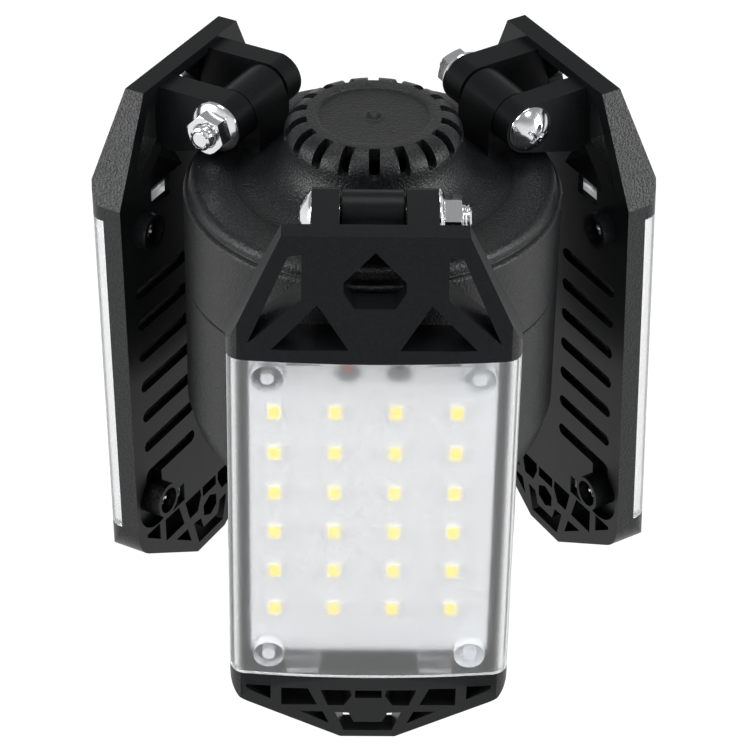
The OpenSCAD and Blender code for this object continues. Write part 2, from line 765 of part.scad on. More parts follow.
// The ends of the two supply leads, from the gallery down onto the board
module leads()
    color("#a02020") for (x = [-lead_x, lead_x])
        translate([x, -board_face - lead_d / 2 - 0.05, tip_h + tray_high - lead_len]) union() {
            cylinder(d = lead_d, h = lead_len + gallery_h - 0.5, $fn = 24);
            translate([0, 0, -1.2]) cylinder(d = lead_d * 0.55, h = 1.3, $fn = 16);
        }

module lens_screws()
    color(zinc) for (x = [-boss_x, boss_x], h = [boss_low, boss_high]) {
        stud(x, h, screw_head_r, well_y - screw_head_h, well_y);
        stud(x, h, screw_r - 0.05, well_y - eps, well_y + screw_len);
    }

module hinge_bolt()
    color(zinc) union() {
        translate([-ear_out, 0, 0]) rotate([0, -90, 0]) rotate_extrude($fn = 48) polygon(concat(
            [[0, 0], [head_d / 2, 0], [head_d / 2, head_h * 0.35]],
            arc(head_d / 2 - head_h * 0.65, head_h * 0.35, head_h * 0.65, 0, 80, 5),
            [[0, head_h]]));
        translate([-ear_out - eps, 0, 0]) rotate([0, 90, 0])
            cylinder(d = bolt_d, h = 2 * ear_out + nut_h + thread_out);
    }

module hinge_nut()
    color(zinc) difference() {
        translate([ear_out, 0, 0]) rotate([0, 90, 0]) union() {
            cylinder(d = flange_d, h = flange_t);
            cylinder(d = nut_af / cos(30), h = nut_h, $fn = 6);
        }
        translate([ear_out - 1, 0, 0]) rotate([0, 90, 0]) cylinder(d = bolt_d + 0.1, h = nut_h + 2);
    }

// ---- Nodes ----

module front_housing() swung(FRONT, front_open) housing();
module front_lens() swung(FRONT, front_open) lens();
module front_led_board() swung(FRONT, front_open) led_board();
module front_leds() swung(FRONT, front_open) leds();
module front_leads() swung(FRONT, front_open) leads();
module front_lens_screws() swung(FRONT, front_open) lens_screws();
module front_hinge_bolt() swung(FRONT, front_open) hinge_bolt();
module front_hinge_nut() swung(FRONT, front_open) hinge_nut();

module left_housing() swung(LEFT, left_open) housing();
module left_lens() swung(LEFT, left_open) lens();
module left_led_board() swung(LEFT, left_open) led_board();
module left_leds() swung(LEFT, left_open) leds();
module left_leads() swung(LEFT, left_open) leads();
module left_lens_screws() swung(LEFT, left_open) lens_screws();
module left_hinge_bolt() swung(LEFT, left_open) hinge_bolt();
module left_hinge_nut() swung(LEFT, left_open) hinge_nut();

module right_housing() swung(RIGHT, right_open) housing();
module right_lens() swung(RIGHT, right_open) lens();
module right_led_board() swung(RIGHT, right_open) led_board();
module right_leds() swung(RIGHT, right_open) leds();
module right_leads() swung(RIGHT, right_open) leads();
module right_lens_screws() swung(RIGHT, right_open) lens_screws();
module right_hinge_bolt() swung(RIGHT, right_open) hinge_bolt();
module right_hinge_nut() swung(RIGHT, right_open) hinge_nut();

hub_upper_shell();
hub_lower_shell();
screw_shell();
cap_insulator();
centre_contact();
driver_board();
driver_board_screws();
transformer();
bulk_capacitor();
output_capacitor();
filter_choke();
bridge_rectifier();
supply_fuse();
panel_connectors();
front_housing();
front_lens();
front_led_board();
front_leds();
front_leads();
front_lens_screws();
front_hinge_bolt();
front_hinge_nut();
left_housing();
left_lens();
left_led_board();
left_leds();
left_leads();
left_lens_screws();
left_hinge_bolt();
left_hinge_nut();
right_housing();
right_lens();
right_led_board();
right_leds();
right_leads();
right_lens_screws();
right_hinge_bolt();
right_hinge_nut();
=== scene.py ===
# %% [markdown]
# # A garage light with three folding panels
# The lamp stands on the tips of its folded panels, as in the photograph, with the vented dome up. All
# that moves is already in the CAD frame, so this file only dresses it: it gives each piece its final
# shape and finish, and lights it. The frame is loaded first, because every later size is taken from it.

# %% Load the frame
import math

import bpy
from mathutils import Matrix, Vector


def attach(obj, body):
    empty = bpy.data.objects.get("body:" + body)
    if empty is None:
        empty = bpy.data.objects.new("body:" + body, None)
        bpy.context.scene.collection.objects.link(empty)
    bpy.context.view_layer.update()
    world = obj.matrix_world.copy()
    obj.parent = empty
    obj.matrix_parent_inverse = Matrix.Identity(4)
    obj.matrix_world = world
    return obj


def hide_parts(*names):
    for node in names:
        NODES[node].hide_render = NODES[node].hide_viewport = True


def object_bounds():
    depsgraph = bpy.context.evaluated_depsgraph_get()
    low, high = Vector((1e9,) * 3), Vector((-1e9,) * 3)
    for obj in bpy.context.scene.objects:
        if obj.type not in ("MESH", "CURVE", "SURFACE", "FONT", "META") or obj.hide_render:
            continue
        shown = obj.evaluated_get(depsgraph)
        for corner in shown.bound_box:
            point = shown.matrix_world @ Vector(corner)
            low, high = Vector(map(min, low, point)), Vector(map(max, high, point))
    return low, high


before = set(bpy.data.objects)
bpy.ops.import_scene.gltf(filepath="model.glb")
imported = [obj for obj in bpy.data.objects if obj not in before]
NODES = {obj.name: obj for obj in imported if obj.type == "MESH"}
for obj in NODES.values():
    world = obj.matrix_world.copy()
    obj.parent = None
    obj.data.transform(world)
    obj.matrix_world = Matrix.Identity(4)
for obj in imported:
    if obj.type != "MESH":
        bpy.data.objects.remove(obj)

cad_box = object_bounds()
MM = 0.001
print("nodes:", len(NODES), "box:", [[round(c, 4) for c in corner] for corner in cad_box])

# %% [markdown]
# ## Driving sizes
# Sizes are in millimetres, as on a drawing, and MM turns them to Blender's metres. Three hinges stand
# round the hub. A panel hangs from its hinge, and places on it are measured up from its tip and forward
# from the hinge axis. Each value below is used in more than one place.

# %% Sizes that pieces share
SIDES = {"front": (270, 0.0), "left": (150, -1.3), "right": (30, 2.0)}  # bearing and opening in degrees
HINGE_RADIUS, HINGE_HEIGHT = 31, 115.4
TIP_BELOW_HINGE = 123.4
HUB_RADIUS, HUB_WALL_INSIDE = 40.4, 38.2
SEAM_HEIGHT = 82.55
BOLT_RADIUS, BORE_RADIUS = 2.5, 2.55
EAR_OUTSIDE = 12.8
POST_ACROSS = 21.5
POST_HEIGHTS = (26.2, 98.2)
BOARD_FRONT = 18.8
print("panels:", list(SIDES), "hinges at", HINGE_RADIUS, "mm from the axis")

# %% [markdown]
# ## A few habits that keep operators safe
# An operator works on everything that is selected, and loading leaves the CAD nodes selected. So one
# helper clears the selection, one picks a single object and one deletes it. Two more open a mesh with all
# of it selected, and close it again without double points and with its faces turned outwards.


# %% Select and edit
def clear_selection():
    if bpy.context.object and bpy.context.object.mode != "OBJECT":
        bpy.ops.object.mode_set(mode="OBJECT")
    bpy.ops.object.select_all(action="DESELECT")


def pick(obj):
    clear_selection()
    obj.select_set(True)
    bpy.context.view_layer.objects.active = obj


def discard(obj):
    pick(obj)
    bpy.ops.object.delete()


def open_mesh(obj):
    pick(obj)
    bpy.ops.object.mode_set(mode="EDIT")
    bpy.ops.mesh.select_all(action="SELECT")


def close_mesh(obj):
    bpy.ops.mesh.select_all(action="SELECT")
    bpy.ops.mesh.remove_doubles(threshold=1e-6)
    bpy.ops.mesh.normals_make_consistent(inside=False)
    bpy.ops.object.mode_set(mode="OBJECT")
    return obj


# %% [markdown]
# ## Drawing with one point
# A turned or moulded piece starts from its section. By hand, one would merge a plane to a single point
# and extrude that point along the section, click by click. `trace` does the same. `turn` spins the traced
# line about the Z axis, as a lathe does, and `prism` fills the outline and pulls it out to a block.


# %% Trace, turn and pull
def trace(name, points):
    clear_selection()
    bpy.ops.mesh.primitive_plane_add(size=MM)
    line = bpy.context.object
    line.name = name
    bpy.ops.object.mode_set(mode="EDIT")
    bpy.ops.mesh.merge(type="CENTER")
    bpy.ops.transform.translate(value=Vector(points[0]) * MM)
    for here, there in zip(points, points[1:]):
        step = (Vector(there) - Vector(here)) * MM
        bpy.ops.mesh.extrude_region_move(TRANSFORM_OT_translate={"value": step})
    bpy.ops.mesh.select_all(action="SELECT")
    return line


def turn(name, section, steps):
    shape = trace(name, [(radius, 0, height) for radius, height in section])
    bpy.ops.mesh.spin(steps=steps, angle=math.tau, center=(0, 0, 0), axis=(0, 0, 1))
    return close_mesh(shape)


def prism(name, outline, step):
    shape = trace(name, list(outline) + [outline[0]])
    bpy.ops.mesh.remove_doubles(threshold=1e-6)
    bpy.ops.mesh.edge_face_add()
    bpy.ops.mesh.extrude_region_move(TRANSFORM_OT_translate={"value": Vector(step) * MM})
    return close_mesh(shape)


def arc(cx, cy, radius, start, end, count):
    angles = [math.radians(start + (end - start) * i / count) for i in range(count + 1)]
    return [(cx + radius * math.cos(a), cy + radius * math.sin(a)) for a in angles]


# %% [markdown]
# ## Joining, cutting and softening
# Moulded pieces are unions and cuts of simple bodies, and no real edge is sharp. So one helper adds a
# modifier and applies it. Others use it for a boolean, for winding a thread, and for giving every edge a
# small radius and smooth shading. The radius is what catches a thin line of light along each edge in the
# photograph. Smooth shading alone would bend the light on a large face towards its small rounded edges,
# so normals are weighted by the area of the faces.


# %% Boolean, wind, move, copy and soften
def modify(obj, kind, **settings):
    pick(obj)
    bpy.ops.object.modifier_add(type=kind)
    modifier = obj.modifiers[-1]
    for name, value in settings.items():
        setattr(modifier, name, value)
    bpy.ops.object.modifier_apply(modifier=modifier.name)


def boolean(body, tool, operation):
    modify(body, "BOOLEAN", operation=operation, solver="EXACT", object=tool)
    discard(tool)
    return body


def wind(line, pitch, turns, steps):
    modify(line, "SCREW", screw_offset=pitch * MM, iterations=turns, steps=steps, render_steps=steps,
           use_merge_vertices=True)
    open_mesh(line)


def moved(obj, matrix):
    obj.data.transform(matrix)
    obj.data.update()
    return obj


def mesh_copy(obj, matrix):
    pick(obj)
    bpy.ops.object.duplicate(linked=False)
    return moved(bpy.context.object, matrix)


def join(pieces):
    clear_selection()
    for piece in pieces:
        piece.select_set(True)
    bpy.context.view_layer.objects.active = pieces[0]
    bpy.ops.object.join()
    return pieces[0]


def soften(obj, width, angle, segments=2):
    sharp = math.radians(angle)
    modify(obj, "BEVEL", width=width * MM, segments=segments, limit_method="ANGLE", angle_limit=sharp)
    bpy.ops.object.shade_smooth_by_angle(angle=sharp)
    modify(obj, "WEIGHTED_NORMAL", keep_sharp=True)
    return obj


def around(axis, degrees):
    return Matrix.Rotation(math.radians(degrees), 4, axis)


def shift(x, y, z):
    return Matrix.Translation(Vector((x, y, z)) * MM)


# %% [markdown]
# ## Handing a piece over
# A finished piece rides on its CAD body, takes the materials it is given, and stands in for the
# CAD nodes it replaces. A CAD node that stays visible only gets a material.


# %% Dress pieces and nodes
pieces_made = []


def dress(obj, name, body, materials, replaces=()):
    obj.name = obj.data.name = name
    if materials:
        obj.data.materials.clear()
        for material in materials:
            obj.data.materials.append(material)
    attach(obj, body)
    if replaces:
        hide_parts(*replaces)
    pieces_made.append(obj)
    print(name, "triangles:", sum(len(p.vertices) - 2 for p in obj.data.polygons))
    return obj


def paint(node, material):
    obj = NODES[node]
    if not obj.material_slots:
        obj.data.materials.append(material)
    for place in obj.material_slots:
        place.link = "OBJECT"
        place.material = material


# %% [markdown]
# ## Colours and shader nodes
# Colours are written as the sRGB hex values one reads off a screen, and one function turns them to the
# linear values that Blender mixes. One other function adds a shader node with its settings and its links.


# %% Colour and node helpers
def colour(code):
    channels = [int(code[i : i + 2], 16) / 255 for i in (1, 3, 5)]
    linear = [c / 12.92 if c <= 0.04045 else ((c + 0.055) / 1.055) ** 2.4 for c in channels]
    return (*linear, 1.0)


def add(tree, kind, inputs=None, **settings):
    node = tree.nodes.new(kind)
    for name, value in settings.items():
        setattr(node, name, value)
    for socket, value in (inputs or {}).items():
        if isinstance(value, bpy.types.NodeSocket):
            tree.links.new(value, node.inputs[socket])
        else:
            node.inputs[socket].default_value = value
    return node


def finish(name, base, roughness, **more):
    material = bpy.data.materials.new(name)
    material.use_nodes = True
    material.diffuse_color = base
    tree = material.node_tree
    tree.nodes.clear()
    shader = add(tree, "ShaderNodeBsdfPrincipled", {"Base Color": base, "Roughness": roughness, **more})
    add(tree, "ShaderNodeOutputMaterial", {"Surface": shader.outputs[0]})
    return material, tree, shader


def place_of(tree):
    return add(tree, "ShaderNodeTexCoord").outputs["Object"]


def per_mm(size):
    return 1000.0 / size


def bump(tree, shader, height, depth, strength=1.0):
    raised = add(tree, "ShaderNodeBump", {"Height": height, "Distance": depth * MM, "Strength": strength})
    tree.links.new(raised.outputs[0], shader.inputs["Normal"])


# %% [markdown]
# ## Black moulded ABS, grained and satin
# The shells and panels are black ABS. Where a hand or the eye meets them, the mould was spark eroded,
# which leaves a pebble grain of about 0.3 mm, seen as a soft sparkle on each curve. It is drawn a little
# coarser than that, because a finer one would vanish between two pixels. The base colour is also made
# lighter on the grain's high spots. That is painted sparkle, which stands in for light glinting on the
# grain. The arms, ribs and backs are satin: their mould was only polished, and their painted sparkle is
# fainter. Large faces also differ a little in gloss, so the roughness follows a slow noise of about 15 mm.


# %% ABS
def abs_plastic(name, grain_mm, depth, roughness, level, dark, light):
    material, tree, shader = finish(name, colour(dark), roughness, **{"Specular IOR Level": level})
    spot = place_of(tree)
    grain = add(tree, "ShaderNodeTexNoise", {"Vector": spot, "Scale": per_mm(grain_mm), "Detail": 2.0})
    bump(tree, shader, grain.outputs[0], depth)
    drift = add(tree, "ShaderNodeTexNoise", {"Vector": spot, "Scale": per_mm(15), "Detail": 2.0})
    gloss = add(tree, "ShaderNodeMapRange", {"Value": drift.outputs[0], "To Min": roughness - 0.05,
                                             "To Max": roughness + 0.05})
    tree.links.new(gloss.outputs[0], shader.inputs["Roughness"])
    # Painted sparkle: the base colour runs from the dark tone to the light one with the grain, in place of
    # light glinting on it.
    painted_sparkle_mask = add(tree, "ShaderNodeMapRange", {"Value": grain.outputs[0], "From Min": 0.35, "From Max": 0.65})
    tones = {0: painted_sparkle_mask.outputs[0], 6: colour(dark), 7: colour(light)}
    shade = add(tree, "ShaderNodeMix", tones, data_type="RGBA")
    tree.links.new(shade.outputs[2], shader.inputs["Base Color"])
    return material


grained_abs = abs_plastic("ABS_spark_eroded_black", 0.5, 0.18, 0.36, 0.3, "#0a0b0c", "#1c1d1f")
satin_abs = abs_plastic("ABS_satin_black", 0.5, 0.02, 0.34, 0.11, "#0d0e0f", "#131416")
print("made", grained_abs.name, "and", satin_abs.name)

# %% [markdown]
# ## Clear polycarbonate for the lenses
# The lenses are moulded in clear polycarbonate with an index of 1.585. Their outside is polished, so it
# draws thin lines of light along the rounded edges. Their inside carries a fine matt grain, so the chips
# behind it look soft and the dark of the tray looks grey. The thick posts are hazier still. Glass blocks
# lamp light in Cycles, so shadow rays pass through a transparent shader instead.

# %% Polycarbonate
def polycarbonate(name, roughness, clearness):
    material, tree, shader = finish(name, colour("#f7f8f9"), roughness,
                                    **{"Transmission Weight": clearness, "IOR": 1.585})
    rays = add(tree, "ShaderNodeLightPath")
    window = add(tree, "ShaderNodeBsdfTransparent", {"Color": colour("#f2f3f4")})
    through = add(tree, "ShaderNodeMixShader", {0: rays.outputs["Is Shadow Ray"], 1: shader.outputs[0],
                                                2: window.outputs[0]})
    tree.links.new(through.outputs[0], tree.nodes["Material Output"].inputs["Surface"])
    return material


clear_pc = polycarbonate("polycarbonate_polished_clear", 0.05, 1.0)
matt_pc = polycarbonate("polycarbonate_matt_clear", 0.38, 1.0)
hazy_pc = polycarbonate("polycarbonate_hazy_clear", 0.15, 0.45)
print("made", clear_pc.name, matt_pc.name, "and", hazy_pc.name)

# %% [markdown]
# ## Zinc, nickel and brass
# The bolts and nuts are steel with a bright zinc plating, nearly a mirror with a faint haze, and the
# screw cap is nickel-plated. A metal keeps the default index, and its colour is the colour of its
# reflection. Fine turning marks of about 0.15 mm are drawn at 0.3 mm so that they show.

# %% Metals
def plated(name, code, roughness):
    material, tree, shader = finish(name, colour(code), roughness, Metallic=1.0)
    marks = add(tree, "ShaderNodeTexNoise", {"Vector": place_of(tree), "Scale": per_mm(0.6), "Detail": 3.0})
    bump(tree, shader, marks.outputs[0], 0.02, 0.25)
    haze = add(tree, "ShaderNodeMapRange", {"Value": marks.outputs[0], "To Min": roughness - 0.04,
                                            "To Max": roughness + 0.06})
    tree.links.new(haze.outputs[0], shader.inputs["Roughness"])
    return material


zinc_plate = plated("steel_zinc_plated_bright", "#d9dadc", 0.14)
nickel_plate = plated("brass_nickel_plated", "#cfcdc8", 0.2)
bare_brass = plated("brass_pressed", "#c9a559", 0.28)
print("made", zinc_plate.name, nickel_plate.name, "and", bare_brass.name)

# %% [markdown]
# ## The light board: solder mask, chips and their phosphor
# The board is aluminium under a white solder mask, which is smooth and a little glossy, with a faint
# orange peel of about 1 mm. A chip is a white moulded frame filled with silicone that holds yellow
# phosphor. The phosphor scatters light like a paste, so it is matt and a little uneven.

# %% Board and chip finishes
mask_gloss = {"Specular IOR Level": 0.4}
solder_mask, tree, shader = finish("solder_mask_white", colour("#cdcdcd"), 0.45, **mask_gloss)
peel = add(tree, "ShaderNodeTexNoise", {"Vector": place_of(tree), "Scale": per_mm(1.2), "Detail": 2.0})
bump(tree, shader, peel.outputs[0], 0.02, 0.4)

chip_frame, tree, shader = finish("epoxy_moulded_white", colour("#f1f0ea"), 0.5)
fleck = add(tree, "ShaderNodeTexNoise", {"Vector": place_of(tree), "Scale": per_mm(0.4), "Detail": 2.0})
bump(tree, shader, fleck.outputs[0], 0.01, 0.3)

phosphor, tree, shader = finish("silicone_yellow_phosphor", colour("#ffe873"), 0.6)
paste = add(tree, "ShaderNodeTexNoise", {"Vector": place_of(tree), "Scale": per_mm(0.8), "Detail": 2.0})
tones = {0: paste.outputs[0], 6: colour("#fadc4c"), 7: colour("#fdec84")}
tone = add(tree, "ShaderNodeMix", tones, data_type="RGBA")
tree.links.new(tone.outputs[2], shader.inputs["Base Color"])
print("made", solder_mask.name, chip_frame.name, "and", phosphor.name)

# %% [markdown]
# ## Plastics, ceramics and coatings inside the hub
# What the hub holds is hidden, but each piece still gets the finish it has: soft PVC on the leads, a
# green solder mask, shrink sleeve on the capacitors, yellow winding tape, lacquered copper, moulded
# epoxy, glazed ceramic and white nylon. One function builds them, because they differ only in colour,
# gloss and the size of their grain.


# %% Small finishes
def coated(name, code, darker, roughness, grain_mm, depth):
    material, tree, shader = finish(name, colour(code), roughness)
    noise = {"Vector": place_of(tree), "Scale": per_mm(grain_mm), "Detail": 3.0}
    pattern = add(tree, "ShaderNodeTexNoise", noise)
    tones = {0: pattern.outputs[0], 6: colour(darker), 7: colour(code)}
    mix = add(tree, "ShaderNodeMix", tones, data_type="RGBA")
    tree.links.new(mix.outputs[2], shader.inputs["Base Color"])
    bump(tree, shader, pattern.outputs[0], depth, 0.4)
    return material


pvc_red = coated("PVC_extruded_red", "#b3403c", "#9c322f", 0.45, 1.0, 0.02)
pvc_black = coated("PVC_extruded_black", "#2a2a2c", "#1f1f21", 0.45, 1.0, 0.02)
solder = coated("solder_tin_reflowed", "#707173", "#5a5b5d", 0.3, 0.8, 0.03)
green_mask = coated("FR4_green_solder_mask", "#2f7140", "#27613a", 0.35, 2.0, 0.01)
shrink_sleeve = coated("PET_shrink_sleeve_black", "#26282c", "#1f2024", 0.3, 3.0, 0.02)
winding_tape = coated("polyester_tape_yellow", "#e8c542", "#d9b336", 0.35, 4.0, 0.03)
copper_wire = coated("copper_wire_lacquered", "#9a5a2c", "#7e4520", 0.3, 0.5, 0.1)
potting_epoxy = coated("epoxy_moulded_black", "#222326", "#1b1c1e", 0.5, 0.5, 0.02)
fuse_ceramic = coated("ceramic_glazed_grey", "#93a9a3", "#889d98", 0.2, 3.0, 0.01)
white_nylon = coated("nylon_moulded_white", "#efeee8", "#e6e5de", 0.45, 0.8, 0.02)
cap_insulation = coated("glass_vitrite_black", "#1a1a1d", "#141416", 0.2, 2.0, 0.02)
print("materials so far:", len(bpy.data.materials))

# %% [markdown]
# ## The hub's upper shell
# The dome and shoulder are one moulding, so they are turned as one shell with its wall, from the sunken
# disc over the rounded rim and the flare to the shoulder and the seam. A small pit with a lip in the
# middle of the disc is where the plastic entered the mould.

# %% Turn the dome and shoulder
dome_section = (
    [(0, 120.15), (0.9, 120.15), (1.5, 120.55), (1.75, 120.85), (2.1, 120.85), (2.6, 120.7)]
    + [(11.7, 120.7), (12.0, 120.85), (12.2, 121.2), (12.5, 121.3), (14.2, 121.3)]
    + arc(14.2, 116.5, 4.8, 78, 0, 14)
    + arc(28.6, 116.1, 9.6, 180, 270, 20)
    + [(29.45, 106.5), (29.7, 106.62), (29.85, 107.0), (30.4, 107.2)]
    + [(33.5, 107.33), (36.0, 107.12)]
    + arc(36.9, 104.6, 2.4, 82, 6, 10)
    + [(39.32, 104.1), (39.45, 103.92)]
    + arc(39.5, 102.9, 1.0, 88, 0, 8)
    + [(HUB_RADIUS, 102.4), (HUB_RADIUS, SEAM_HEIGHT + 0.4), (HUB_RADIUS - 0.35, SEAM_HEIGHT + 0.05)]
    + [(HUB_WALL_INSIDE, SEAM_HEIGHT + 0.05), (HUB_WALL_INSIDE, 102.5), (36.4, 104.3), (28.6, 104.3)]
    + arc(28.6, 116.1, 11.8, 270, 180, 14)
    + [(16.0, 118.5), (0, 118.5)]
)
upper_shell = turn("hub_upper", dome_section, 128)
print("dome rim at", max(height for radius, height in dome_section), "mm")

# %% [markdown]
# The three knuckles carry the hinge bolts. Each is a barrel on a foot that runs down into the shoulder, a
# little thicker towards the dome, so one outline gives both. It is pulled across the hinge and gets a
# thin round boss on each end, which keeps the ears at a distance. It is joined to the shell by a boolean
# and bored for the bolt with a running clearance of 0.05 mm.

# %% Knuckles and bores
def hinge_place(side, swung=True):
    bearing, opened = SIDES[side]
    place = around("Z", bearing + 90) @ shift(0, -HINGE_RADIUS, HINGE_HEIGHT)
    return place @ around("X", -opened) if swung else place


def rod(name, radius, start, end, count):
    axis = Vector(end) - Vector(start)
    clear_selection()
    bpy.ops.mesh.primitive_cylinder_add(vertices=count, radius=radius * MM, depth=axis.length * MM)
    obj = bpy.context.object
    obj.name = name
    turned = axis.to_track_quat("Z", "Y").to_matrix().to_4x4()
    return moved(obj, shift(*((Vector(start) + Vector(end)) / 2)) @ turned)


def block(name, low, high):
    clear_selection()
    bpy.ops.mesh.primitive_cube_add(size=1)
    obj = bpy.context.object
    obj.name = name
    size = Vector(high) - Vector(low)
    return moved(obj, shift(*((Vector(low) + Vector(high)) / 2)) @ Matrix.Diagonal((*(size * MM), 1)))


BARREL, FOOT_BOTTOM, FOOT_BACK = 5.4, -10.6, 6.3
KNUCKLE_LEFT, KNUCKLE_WIDTH, BOSS_RADIUS, BOSS_RISE = -6.6, 12.4, 4.2, 0.52
BORE_LEFT, BORE_RIGHT = -7.6, 6.9
knuckle_side = (
    [(-BARREL, FOOT_BOTTOM)]
    + arc(0, 0, BARREL, 180, 21.9, 48)
    + [(FOOT_BACK, -1.2), (FOOT_BACK, FOOT_BOTTOM)]
)
boss_left = KNUCKLE_LEFT - BOSS_RISE
boss_right = KNUCKLE_LEFT + KNUCKLE_WIDTH + BOSS_RISE
for side in SIDES:
    knuckle = prism("knuckle", [(KNUCKLE_LEFT, y, z) for y, z in knuckle_side], (KNUCKLE_WIDTH, 0, 0))
    boolean(knuckle, rod("end_bosses", BOSS_RADIUS, (boss_left, 0, 0), (boss_right, 0, 0), 64), "UNION")
    boolean(upper_shell, moved(knuckle, hinge_place(side, False)), "UNION")
for side in SIDES:
    bore = rod("bore", BORE_RADIUS, (BORE_LEFT, 0, 0), (BORE_RIGHT, 0, 0), 48)
    boolean(upper_shell, moved(bore, hinge_place(side, False)), "DIFFERENCE")
print("knuckles:", len(SIDES), "vertices now", len(upper_shell.data.vertices))

# %% [markdown]
# The 18 vents cross the rounded rim. One cutter is a prism with a round lower end. It is copied every 20
# degrees, and all the cutters are joined and cut at once, which is much quicker than one cut after
# another. The knuckles, which rub against the ears, are satin, and the rest of the shell is grained.

# %% Vents
VENTS, VENT_HALF_WIDTH, VENT_END = 18, 1.15, 117.55
VENT_START, VENT_REACH, ABOVE_DOME = 14.3, 9, 124
FIRST_VENT = 270
cutters = []
vent_outline = arc(0, VENT_END, VENT_HALF_WIDTH, 180, 360, 12)
vent_outline += [(VENT_HALF_WIDTH, ABOVE_DOME), (-VENT_HALF_WIDTH, ABOVE_DOME)]
slot_cut = prism("vent", [(VENT_START, y, z) for y, z in vent_outline], (VENT_REACH, 0, 0))
for number in range(VENTS):
    cutters.append(mesh_copy(slot_cut, around("Z", FIRST_VENT + number * 360 / VENTS)))
discard(slot_cut)
boolean(upper_shell, join(cutters), "DIFFERENCE")
soften(upper_shell, 0.24, 34)
upper_shell.data.materials.clear()
upper_shell.data.materials.append(grained_abs)
upper_shell.data.materials.append(satin_abs)
DOME_REACH, SHOULDER_TOP = 24, 108
for face in upper_shell.data.polygons:
    place = face.center / MM
    on_knuckle = place.z > SHOULDER_TOP and math.hypot(place.x, place.y) > DOME_REACH
    face.material_index = int(on_knuckle)
dress(upper_shell, "hub_upper_shell_moulding", "hub", None, ["hub_upper_shell"])

# %% [markdown]
# ## The hub's lower shell
# Below the seam the shell is a bowl that draws in to the neck of the screw cap. It is a plain turned
# piece. A small chamfer on both sides of the seam leaves the thin dark line that runs round the hub.

# %% Turn the bowl
bowl_section = (
    [(HUB_WALL_INSIDE, SEAM_HEIGHT - 0.05), (HUB_RADIUS - 0.35, SEAM_HEIGHT - 0.05)]
    + [(HUB_RADIUS, SEAM_HEIGHT - 0.4), (HUB_RADIUS, 52.0)]
    + arc(25.9, 52, 14.0, 0, -60, 20)
    + [(16.8, 31.0), (15.6, 30.0), (15.2, 28.8), (15.2, 23.4), (14.6, 22.85), (11.6, 22.8), (11.6, 4.0)]
    + [(10.2, 4.0), (10.2, 31.6), (15.4, 33.4)]
    + arc(25.9, 52, 11.8, -60, 0, 12)
    + [(HUB_WALL_INSIDE, 60.0), (HUB_WALL_INSIDE, SEAM_HEIGHT - 0.05)]
)
lower_shell = soften(turn("hub_lower", bowl_section, 128), 0.12, 40)
dress(lower_shell, "hub_lower_shell_moulding", "hub", [grained_abs], ["hub_lower_shell"])

# %% [markdown]
# ## The screw cap
# An E27 cap is rolled from thin nickel-plated brass: its thread is a round wave of 3.63 mm pitch, not a
# cut V. One pitch of the wave is traced and the Screw modifier winds it up, turn on turn, so the ends of
# each turn meet. A rolled collar closes it above, and an apron that turns in over the insulator closes it
# below.

# %% Roll the thread
PITCH, CREST, ROOT = 3.63, 13.1, 12.25
WAVE_START, WAVE_STEPS, CAP_TURNS = 1.0, 16, 5
THREAD_LOW, THREAD_HIGH = 1.6, 21.4
wave = []
for step in range(WAVE_STEPS + 1):
    lift = (CREST + ROOT) / 2 + (CREST - ROOT) / 2 * math.cos(math.tau * step / WAVE_STEPS)
    wave.append((lift, 0, WAVE_START + PITCH * step / WAVE_STEPS))
thread = trace("cap_thread", wave)
wind(thread, PITCH, CAP_TURNS, 64)
bpy.ops.mesh.remove_doubles(threshold=1e-6)
bpy.ops.mesh.bisect(plane_co=(0, 0, THREAD_LOW * MM), plane_no=(0, 0, 1), clear_inner=True)
bpy.ops.mesh.select_all(action="SELECT")
bpy.ops.mesh.bisect(plane_co=(0, 0, THREAD_HIGH * MM), plane_no=(0, 0, 1), clear_outer=True)
close_mesh(thread)
collar_section = [(12.0, 20.2), (12.5, 20.2), (12.95, 20.7), (13.1, 21.2), (13.1, 22.5), (12.9, 22.8),
                  (12.0, 22.8), (12.0, 20.2)]
apron_section = [(11.9, 2.4), (12.4, 2.4), (13.0, 1.9), (13.1, 1.3), (13.05, 0.2), (12.6, -0.4),
                 (11.2, -0.9), (10.6, -0.75), (10.6, -0.4), (11.2, -0.4), (11.9, 0.4), (11.9, 2.4)]
screw_shell = join([thread, turn("cap_collar", collar_section, 96), turn("cap_apron", apron_section, 96)])
pick(screw_shell)
bpy.ops.object.shade_smooth_by_angle(angle=math.radians(50))
dress(screw_shell, "screw_cap_shell", "hub", [nickel_plate], ["screw_shell"])

# %% [markdown]
# The insulator is black glass, poured between the shell and the contact, so its face is a soft cone. The
# centre contact is a pressed brass button. Both are turned with rounded corners.

# %% Insulator and contact
glass_section = [(1.9, 4.0), (11.5, 4.0), (11.5, 0.5), (10.4, -0.6), (10.2, -1.5), (8.2, -2.7), (5.9, -4.1),
                 (5.3, -4.35), (3.4, -4.35), (1.9, -4.3), (1.9, 4.0)]
insulator = soften(turn("insulator", glass_section, 96), 0.25, 25)
dress(insulator, "cap_insulator_glass", "hub", [cap_insulation], ["cap_insulator"])
button_section = [(0, -5.3), (2.9, -5.3), (3.9, -5.15), (4.6, -4.9), (4.9, -4.6), (4.9, -4.36), (1.9, -4.3),
                  (1.9, 2.6), (1.5, 3.0), (0, 3.0)]
button = soften(turn("button", button_section, 64), 0.1, 30)
dress(button, "cap_centre_contact", "hub", [bare_brass], ["centre_contact"])

# %% [markdown]
# ## The panel housings
# A housing is the most worked moulding of the lamp: windows between ribs at the hinge end, a ribbed tip,
# cooling slots, two hinge ears and four screw tubes on the back. The CAD solid already has every rib, so
# a copy of it is the start. The copy drops the labels that mark it as a CAD node. Its loose triangles are
# merged, its flat faces are dissolved back to whole ones, and then each edge gets the radius of the real
# mould. The outer side walls are grained, and all the rest is satin.

